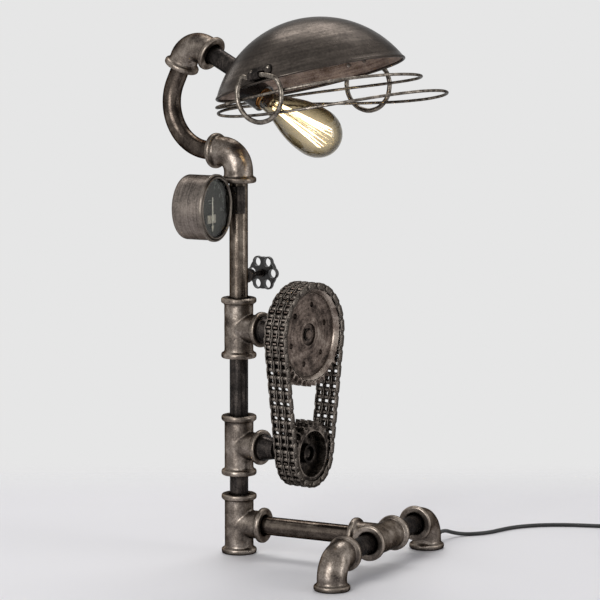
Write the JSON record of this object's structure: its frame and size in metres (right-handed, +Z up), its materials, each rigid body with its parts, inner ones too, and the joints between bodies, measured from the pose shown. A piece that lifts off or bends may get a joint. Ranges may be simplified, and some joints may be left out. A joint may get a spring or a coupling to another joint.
{
  "type": "industrial pipe table lamp",
  "caption": "Table lamp of iron pipe and fittings: swing arm with a domed shade and bare bulb, pressure gauge, hand wheel switch and a roller chain on two sprockets.",
  "frame": {"origin": "on the floor under the column, at the middle of the column tee's bottom face", "axes": "+X the way the shade and the sprocket axles face, +Y the side of the hand wheel switch, +Z up along the column"},
  "size_m": [0.5479, 0.5544, 0.6755],
  "materials": {
    "cast_fitting": "dark antique gunmetal, rubbed bright on the high spots, satin",
    "pipe": "dark antique gunmetal, lengthwise rubbed streaks, satin",
    "dark_pipe": "blackened steel, satin",
    "shade_steel": "spun steel in dark antique gunmetal, faint rings, satin",
    "wire_steel": "bright rubbed steel wire, satin",
    "blackened_steel": "oiled blackened steel, satin",
    "sprocket_steel": "machined steel with a brown patina and bright rims",
    "chain_steel": "oiled roller chain, dark with brown dust",
    "hand_wheel_iron": "black painted cast iron, satin",
    "zinc_steel": "plated hardware",
    "gauge_steel": "rolled steel in antique gunmetal, fine brushed lines round the case",
    "dial_paint": "matt greenish black with fine pale marks",
    "needle_paint": "white",
    "clear_glass": "clear flat glass",
    "amber_glass": "amber lamp glass",
    "lamp_brass": "plated brass screw cap",
    "filament": "glowing filament wires on a glass stem",
    "phenolic": "black phenolic",
    "porcelain": "glazed insulator",
    "cord_rubber": "black flexible sheath, satin",
    "plug_plastic": "black moulded plug"
  },
  "bodies": {
    "stand": {"base_tee": "cast_fitting", "base_pipe": "pipe", "front_tee": "cast_fitting", "foot_nipple_near": "dark_pipe", "foot_nipple_far": "dark_pipe", "foot_elbow_near": "cast_fitting", "foot_elbow_far": "cast_fitting", "column_nipple_low": "dark_pipe", "lower_tee": "cast_fitting", "column_pipe_mid": "dark_pipe", "mid_tee": "cast_fitting", "column_pipe_top": "pipe", "gauge_case": "gauge_steel", "gauge_bezel": "gauge_steel", "gauge_glass": "clear_glass", "gauge_dial": "dial_paint", "gauge_movement": "zinc_steel", "gauge_bracket": "blackened_steel", "rotary_switch": "phenolic", "switch_bonnet": "blackened_steel", "axle_bush_big": "blackened_steel", "axle_bush_small": "blackened_steel", "axle_big": "blackened_steel", "axle_small": "blackened_steel", "retaining_clips": "zinc_steel", "chain_inner_links": "chain_steel", "chain_outer_links": "chain_steel", "cord_relief": "cord_rubber", "cord": "cord_rubber", "cord_coil": "cord_rubber", "cord_tail": "cord_rubber", "plug_body": "plug_plastic", "plug_pins": "lamp_brass"},
    "arm": {"top_elbow": "cast_fitting", "arm_pipe": "pipe", "head_elbow": "cast_fitting"},
    "head": {"head_nipple": "dark_pipe", "shade": "shade_steel", "shade_collar": "blackened_steel", "holder_rod": "zinc_steel", "shade_nut": "zinc_steel", "holder_block": "zinc_steel", "lampholder_shell": "phenolic", "lampholder_insert": "porcelain", "bulb_cap": "lamp_brass", "bulb_glass": "amber_glass", "bulb_stem": "filament", "ring_near": "wire_steel", "ring_far": "wire_steel", "ring_strap_near": "blackened_steel", "ring_strap_far": "blackened_steel", "strap_rivets": "wire_steel", "hoop_upper": "wire_steel", "hoop_lower": "wire_steel"},
    "switch_rotor": {"switch_stem": "blackened_steel", "hand_wheel": "hand_wheel_iron", "wheel_nut": "zinc_steel"},
    "needle": {"gauge_needle": "needle_paint"},
    "drive_wheel": {"big_sprocket": "sprocket_steel"},
    "driven_wheel": {"small_sprocket": "sprocket_steel"}
  },
  "joints": [
    {"name": "arm_swing", "type": "hinge", "parent": "stand", "child": "arm", "pos_m": [0, 0, 0.5057], "axis": [0, 0, 1], "range_deg": [-90, 90]},
    {"name": "shade_turn", "type": "hinge", "parent": "arm", "child": "head", "pos_m": [-0.07271, 0, 0.64126], "axis": [0.8988, 0, -0.4384], "range_deg": [-30, 30]},
    {"name": "switch_turn", "type": "hinge", "parent": "stand", "child": "switch_rotor", "pos_m": [0, 0, 0.35], "axis": [0, 1, 0], "range_deg": [0, 90]},
    {"name": "needle_turn", "type": "hinge", "parent": "stand", "child": "needle", "pos_m": [0.01054, -0.05695, 0.427], "axis": [0.9877, 0.1564, 0], "range_deg": [-100, 100]},
    {"name": "drive_wheel_spin", "type": "hinge", "parent": "stand", "child": "drive_wheel", "pos_m": [0.1005, 0, 0.28627], "axis": [1, 0, 0], "continuous": true, "deforming": ["chain_inner_links", "chain_outer_links"]},
    {"name": "driven_wheel_spin", "type": "hinge", "parent": "stand", "child": "driven_wheel", "pos_m": [0.1005, 0, 0.138], "axis": [1, 0, 0], "continuous": true}
  ],
  "couplings": [
    {"joint": "driven_wheel_spin", "follows": "drive_wheel_spin", "ratio": 1.6}
  ]
}
